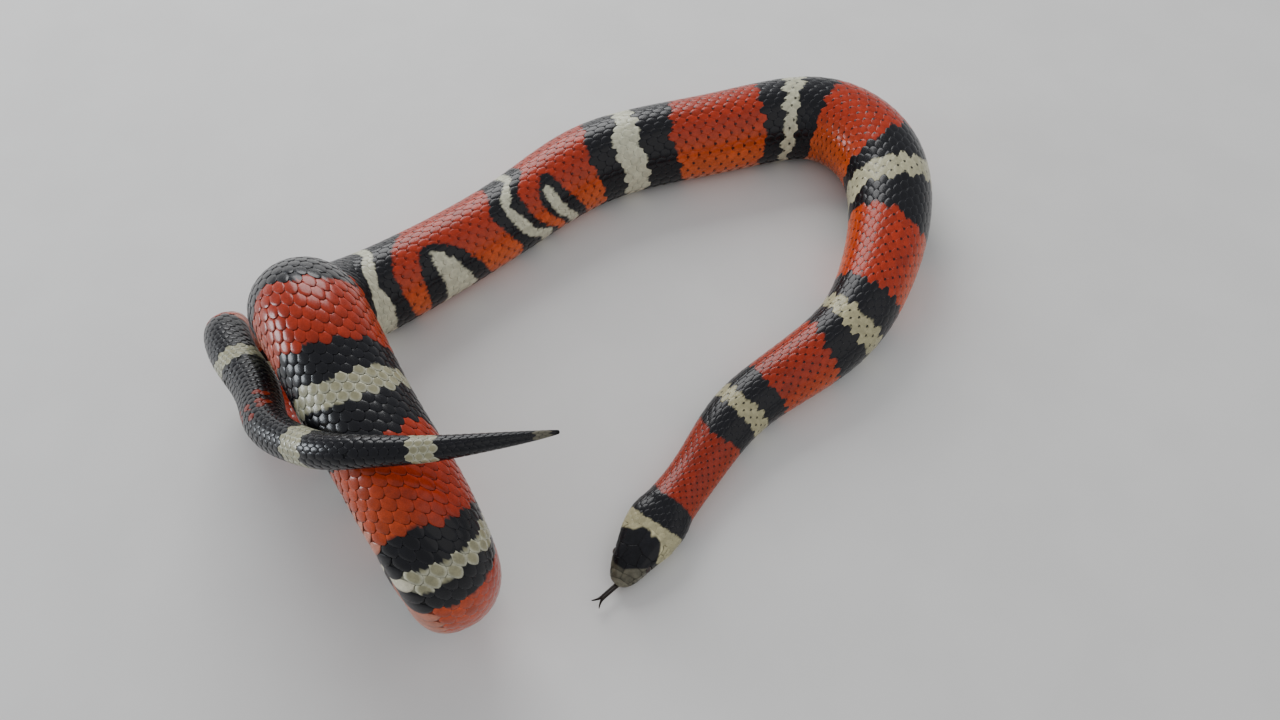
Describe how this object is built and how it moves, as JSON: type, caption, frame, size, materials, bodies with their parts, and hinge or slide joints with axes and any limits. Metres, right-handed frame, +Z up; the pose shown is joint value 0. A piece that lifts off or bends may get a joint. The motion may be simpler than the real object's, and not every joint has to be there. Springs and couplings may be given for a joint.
{
  "type": "milk snake",
  "caption": "Life-size still model of a milk snake with red, black and cream rings, lying on the floor with one high turn of the body and the tail over it.",
  "frame": {"origin": "the middle of the footprint, on the floor that the belly rests on", "axes": "+Z up, +X to the right and +Y away as the picture sees the animal; the head is at the near side, right of the middle"},
  "size_m": [0.195, 0.1816, 0.0629],
  "materials": {
    "scales": "smooth glossy scales in red, black and cream rings",
    "eye": "wet, very glossy",
    "tongue": "damp and dark"
  },
  "bodies": {
    "root": {"head": "scales", "eye_left": "eye", "eye_right": "eye", "tongue": "tongue", "neck_01": "scales", "neck_02": "scales", "body_01": "scales", "body_02": "scales", "body_03": "scales", "body_04": "scales", "body_05": "scales", "body_06": "scales", "body_07": "scales", "body_08": "scales", "body_09": "scales", "body_10": "scales", "body_11": "scales", "body_12": "scales", "body_13": "scales", "tail_01": "scales", "tail_02": "scales", "tail_03": "scales", "tail_04": "scales", "tail_tip": "scales"}
  },
  "joints": []
}
